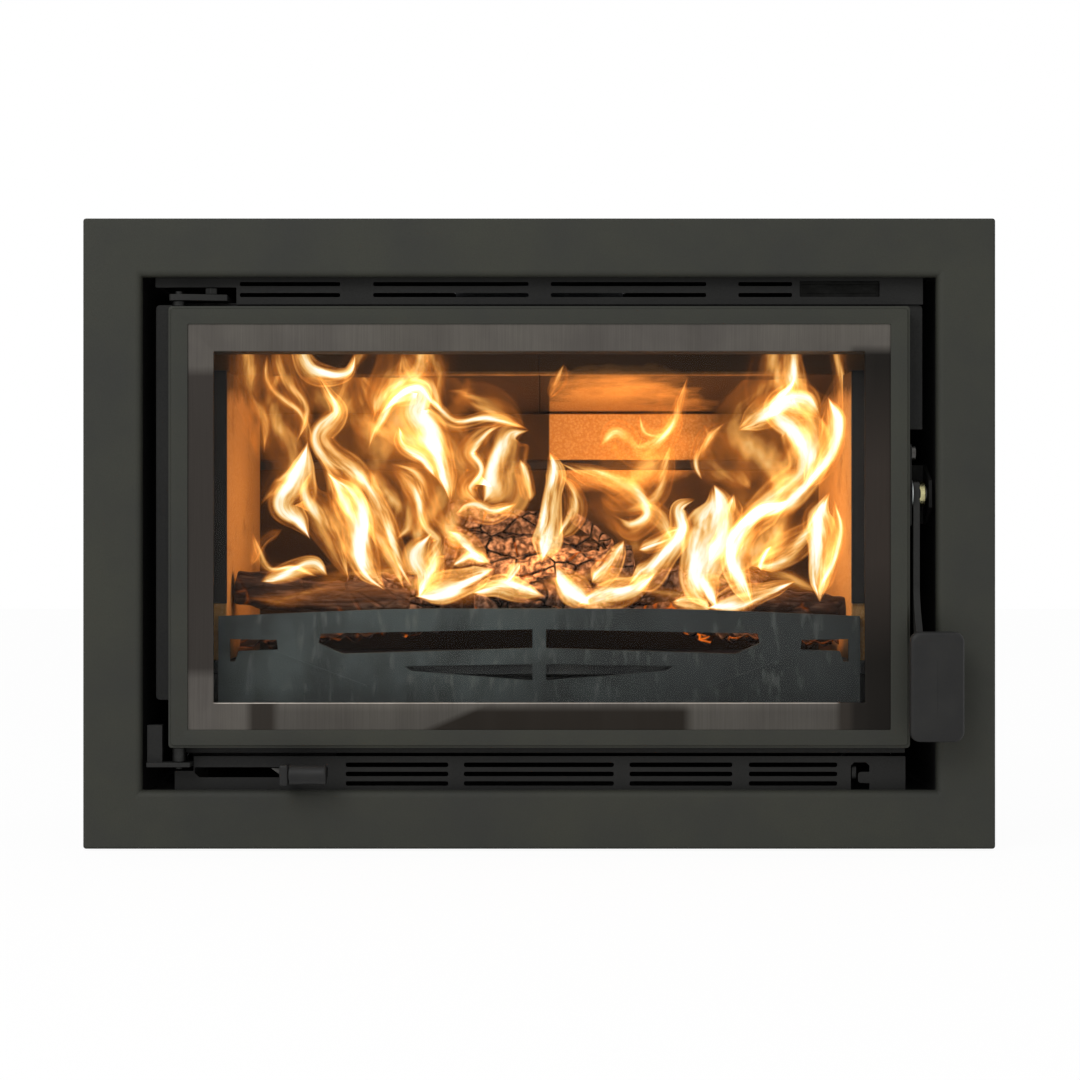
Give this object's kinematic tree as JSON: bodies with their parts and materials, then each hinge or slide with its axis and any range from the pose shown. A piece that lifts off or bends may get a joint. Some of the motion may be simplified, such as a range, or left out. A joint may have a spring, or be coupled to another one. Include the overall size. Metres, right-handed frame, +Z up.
{
  "type": "fireplace insert",
  "caption": "Wide wood-burning fireplace insert: brick-lined steel firebox in a casing, glazed side-hung door with pull latch, air slider and flat surround frame.",
  "frame": {"origin": "bottom centre of the whole part's box: on the floor under the feet, midway across the width and midway between the handle pad's front and the back of the casing", "axes": "+X to the right of a person facing the door, +Y into the wall, +Z up"},
  "size_m": [0.8, 0.432, 0.555],
  "materials": {
    "frame_paint": "fine matt heat-proof paint",
    "inner_paint": "fine matt heat-proof paint, in shade",
    "casing_sheet": "aluminised sheet, dull",
    "firebox_steel": "welded plate, matt paint",
    "cast_iron": "as-cast, smoked",
    "glass_trim": "dark, brushed across",
    "plate_steel": "dull, blank",
    "bare_steel": "turned and bent steel",
    "zinc": "zinc plated",
    "brass": "turned, pale yellow",
    "glass": "glass ceramic",
    "rope": "knitted glass-fibre rope, graphite coated",
    "brick": "pressed vermiculite board",
    "handle_grip": "moulded phenolic, satin"
  },
  "bodies": {
    "body": {"surround_frame": "frame_paint", "casing_left": "casing_sheet", "casing_right": "casing_sheet", "casing_top": "casing_sheet", "casing_base": "casing_sheet", "casing_back": "casing_sheet", "foot_front_left": "zinc", "foot_front_right": "zinc", "foot_rear_left": "zinc", "foot_rear_right": "zinc", "firebox_left": "firebox_steel", "firebox_right": "firebox_steel", "firebox_top": "firebox_steel", "firebox_base": "firebox_steel", "firebox_back": "firebox_steel", "flue_collar": "cast_iron", "front_plate": "inner_paint", "top_grille": "inner_paint", "data_plate": "plate_steel", "bottom_grille": "inner_paint", "hinge_bracket_top": "inner_paint", "hinge_bracket_bolt": "zinc", "hinge_pin_top": "bare_steel", "hinge_bracket_bottom": "inner_paint", "hinge_pin_bottom": "bare_steel", "hinge_bush": "zinc", "catch_bracket": "inner_paint", "catch_stud": "bare_steel", "grate_frame": "cast_iron", "ash_pan": "casing_sheet", "log_guard": "cast_iron", "side_brick_left": "brick", "side_brick_right": "brick", "rear_brick_left": "brick", "rear_brick_right": "brick", "rear_air_bar": "cast_iron", "rear_brick_upper": "brick", "baffle_left": "brick", "baffle_right": "brick", "airwash_baffle": "firebox_steel"},
    "door": {"door_frame": "frame_paint", "glass_trim": "glass_trim", "door_glass": "glass", "glass_rope_seal": "rope", "glass_retainer": "bare_steel", "door_rope_seal": "rope", "latch_plate": "inner_paint", "latch_bolt": "bare_steel", "latch_washer": "zinc"},
    "handle": {"handle_arm": "inner_paint", "handle_pad": "handle_grip"},
    "roller": {"catch_roller": "brass"},
    "air_slider": {"air_lever": "zinc", "air_knob": "handle_grip", "air_valve_plate": "casing_sheet"},
    "riddler": {"riddling_grate": "cast_iron", "riddling_bar": "bare_steel"}
  },
  "joints": [
    {"name": "door_hinge", "type": "hinge", "parent": "body", "child": "door", "pos_m": [-0.3169, -0.169, 0.284], "axis": [0, 0, -1], "range_deg": [0, 105]},
    {"name": "handle_pull", "type": "hinge", "parent": "door", "child": "handle", "pos_m": [0.3315, -0.167, 0.3137], "axis": [-1, 0, 0], "range_deg": [0, 25]},
    {"name": "roller_spin", "type": "hinge", "parent": "body", "child": "roller", "pos_m": [0.3395, -0.139, 0.3137], "axis": [1, 0, 0], "continuous": true},
    {"name": "air_slide", "type": "slide", "parent": "body", "child": "air_slider", "axis": [-1, 0, 0], "range_m": [0, 0.075]},
    {"name": "riddle_pull", "type": "slide", "parent": "body", "child": "riddler", "axis": [0, -1, 0], "range_m": [0, 0.02]}
  ]
}
